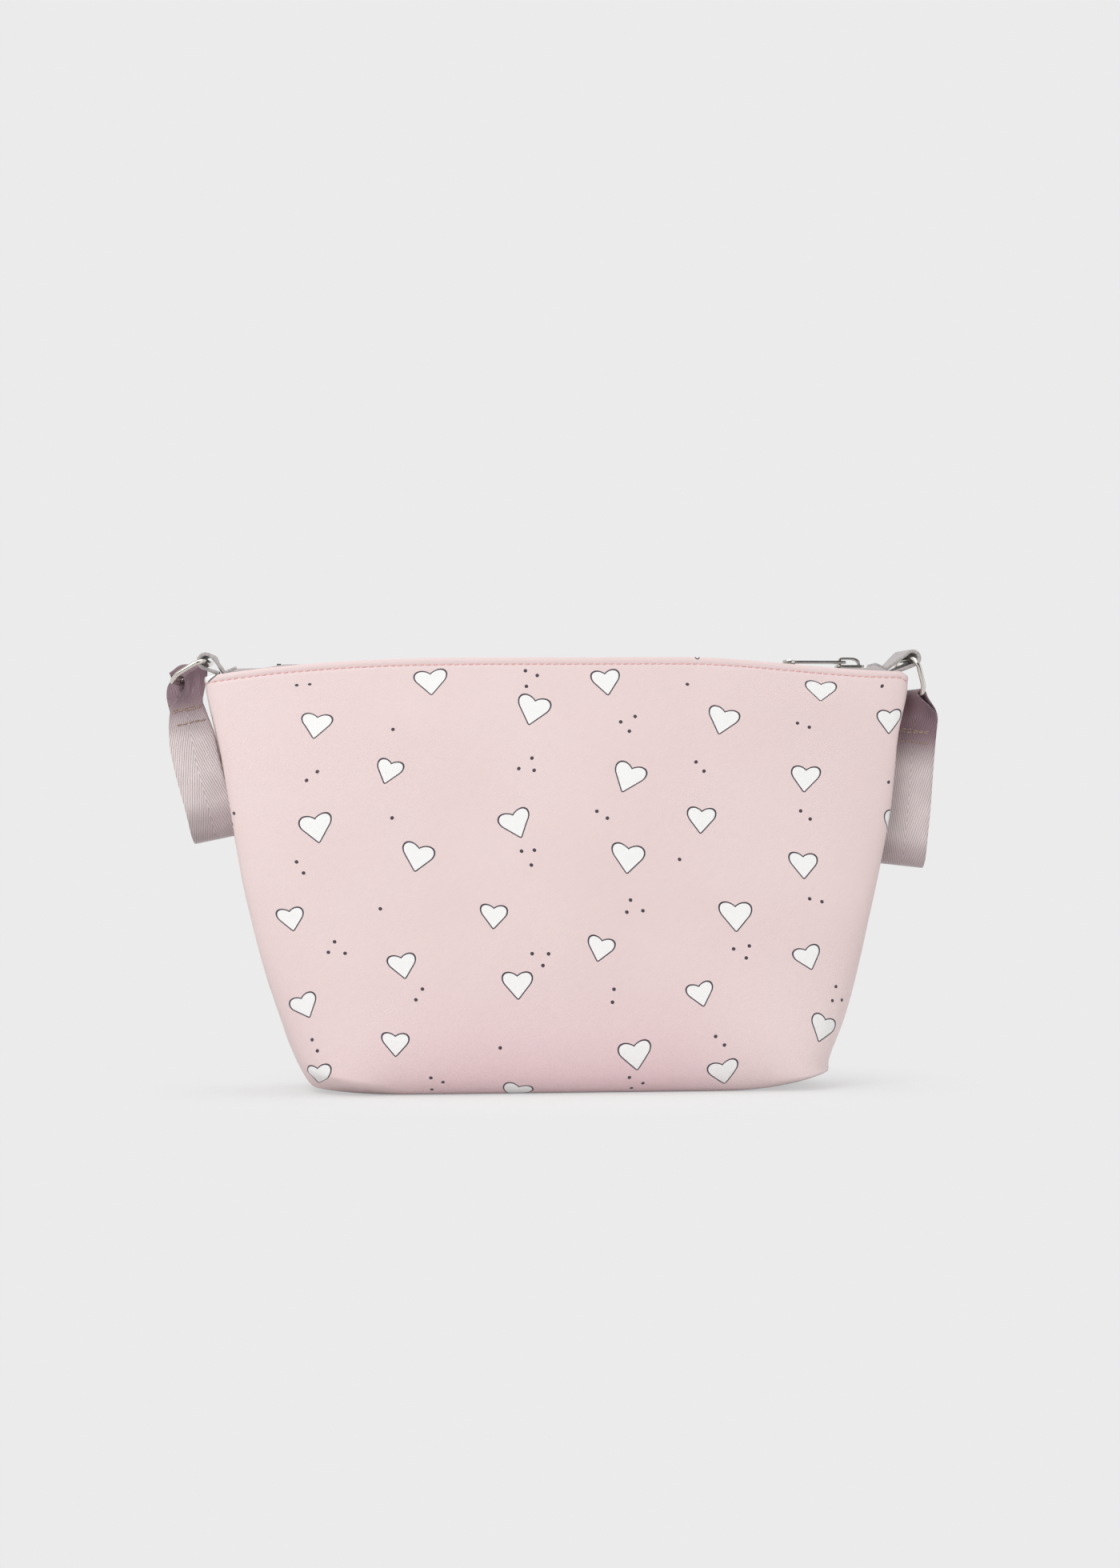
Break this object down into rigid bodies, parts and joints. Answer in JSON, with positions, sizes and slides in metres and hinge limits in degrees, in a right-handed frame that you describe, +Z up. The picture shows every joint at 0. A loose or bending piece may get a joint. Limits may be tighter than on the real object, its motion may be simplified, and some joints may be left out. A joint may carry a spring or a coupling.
{
  "type": "toiletry bag",
  "caption": "Soft boxed-corner toiletry bag with a zipped top, wire rings on end tabs and webbing hanging loops.",
  "frame": {"origin": "middle of the bounding box on the plane the base rests on", "axes": "+X along the zip to the slider's end, +Y from the front face to the back, +Z up"},
  "size_m": [0.34, 0.078, 0.1914],
  "materials": {
    "outer": "embossed faux leather, satin",
    "lining": "plain woven",
    "tape": "woven zip tape",
    "teeth": "nylon",
    "metal": "polished",
    "tab": "faux leather, satin",
    "webbing": "herringbone webbing"
  },
  "bodies": {
    "bag": {"front_panel": "outer", "back_panel": "outer", "front_lining": "lining", "back_lining": "lining", "front_zip_tape": "tape", "back_zip_tape": "tape", "front_top_stop": "metal", "back_top_stop": "metal", "zip_bottom_stop": "metal", "left_ring_tab": "tab", "right_ring_tab": "tab"},
    "front_leaf": {"front_zip_leaf": "tape", "front_zip_teeth": "teeth"},
    "back_leaf": {"back_zip_leaf": "tape", "back_zip_teeth": "teeth"},
    "slider": {"zip_slider": "metal"},
    "pull": {"zip_pull": "metal"},
    "left_ring": {"left_ring": "metal"},
    "left_strap": {"left_strap": "webbing"},
    "right_ring": {"right_ring": "metal"},
    "right_strap": {"right_strap": "webbing"}
  },
  "joints": [
    {"name": "zip_slide", "type": "slide", "parent": "bag", "child": "slider", "axis": [-1, 0, 0], "range_m": [0, 0.2435], "deforming": ["front_zip_teeth", "back_zip_teeth"]},
    {"name": "pull_swing", "type": "hinge", "parent": "slider", "child": "pull", "pos_m": [0.127, 0, 0.186], "axis": [0, 1, 0], "range_deg": [0, 140]},
    {"name": "front_leaf_open", "type": "hinge", "parent": "bag", "child": "front_leaf", "pos_m": [0, -0.0106, 0.1823], "axis": [1, 0, 0], "range_deg": [0, 85]},
    {"name": "back_leaf_open", "type": "hinge", "parent": "bag", "child": "back_leaf", "pos_m": [0, 0.0106, 0.1823], "axis": [-1, 0, 0], "range_deg": [0, 85]},
    {"name": "left_ring_swing", "type": "hinge", "parent": "bag", "child": "left_ring", "pos_m": [-0.1517, 0, 0.1841], "axis": [0.1478, 0.989, 0], "range_deg": [0, 65]},
    {"name": "left_strap_swing", "type": "hinge", "parent": "left_ring", "child": "left_strap", "pos_m": [-0.15652, 0.01306, 0.17991], "axis": [-0.8387, 0.1253, -0.5299], "range_deg": [0, 18]},
    {"name": "right_ring_swing", "type": "hinge", "parent": "bag", "child": "right_ring", "pos_m": [0.1545, 0, 0.1874], "axis": [0.1478, -0.989, 0], "range_deg": [0, 95]},
    {"name": "right_strap_swing", "type": "hinge", "parent": "right_ring", "child": "right_strap", "pos_m": [0.1584, 0.00058, 0.17158], "axis": [0.1478, -0.989, 0], "range_deg": [0, 100]}
  ]
}
